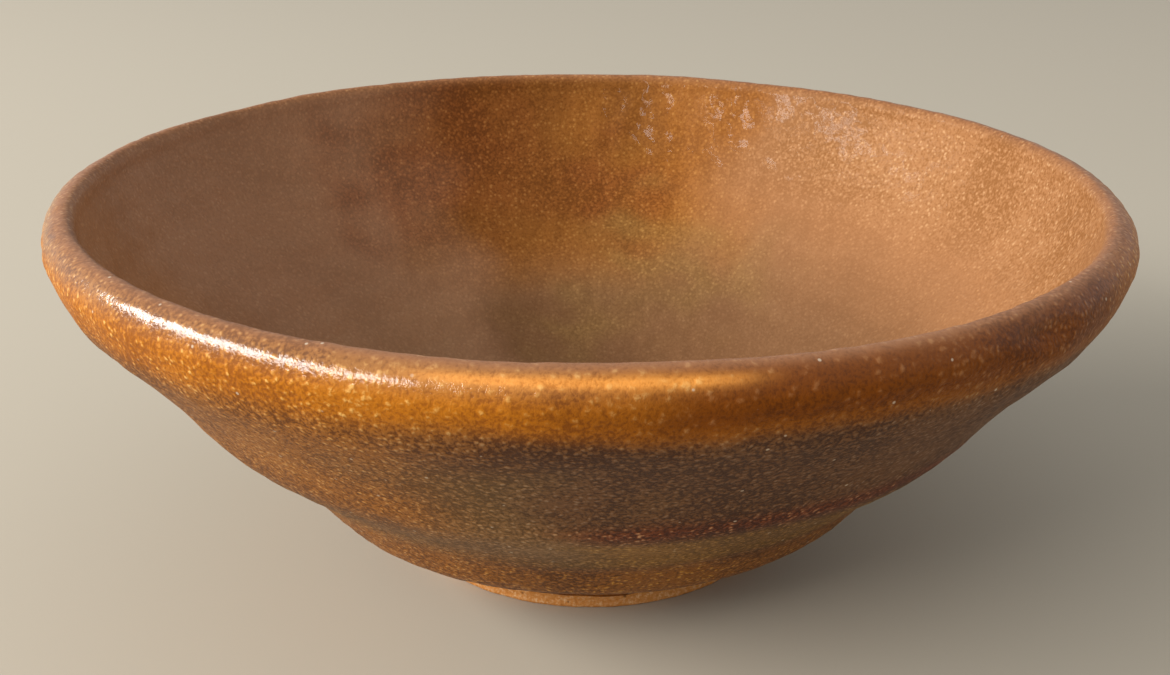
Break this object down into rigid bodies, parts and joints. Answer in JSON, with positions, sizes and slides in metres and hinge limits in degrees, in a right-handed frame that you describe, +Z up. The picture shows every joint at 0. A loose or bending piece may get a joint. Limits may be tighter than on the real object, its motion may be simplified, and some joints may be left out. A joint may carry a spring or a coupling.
{
  "type": "bowl",
  "caption": "Shallow flared stoneware bowl with a rounded lip, an amber glaze inside and out, and a small trimmed foot ring left bare where it stands.",
  "frame": {"origin": "centre of the foot ring, on the surface that the bowl stands on", "axes": "+Z up along the bowl's axis of turning; X and Y are equivalent, and the front in the picture faces -Y"},
  "size_m": [0.121, 0.121, 0.0448],
  "materials": {
    "bare_stoneware": "unglazed fired clay, matt and sandy",
    "amber_glaze": "semi-gloss iron glaze, amber to brown, with fine grain",
    "recess_glaze": "semi-gloss iron glaze, brown, thinner than on the outside"
  },
  "bodies": {
    "root": {"stoneware_body": "bare_stoneware", "glaze_coat": "amber_glaze", "foot_recess_glaze": "recess_glaze"}
  },
  "joints": []
}
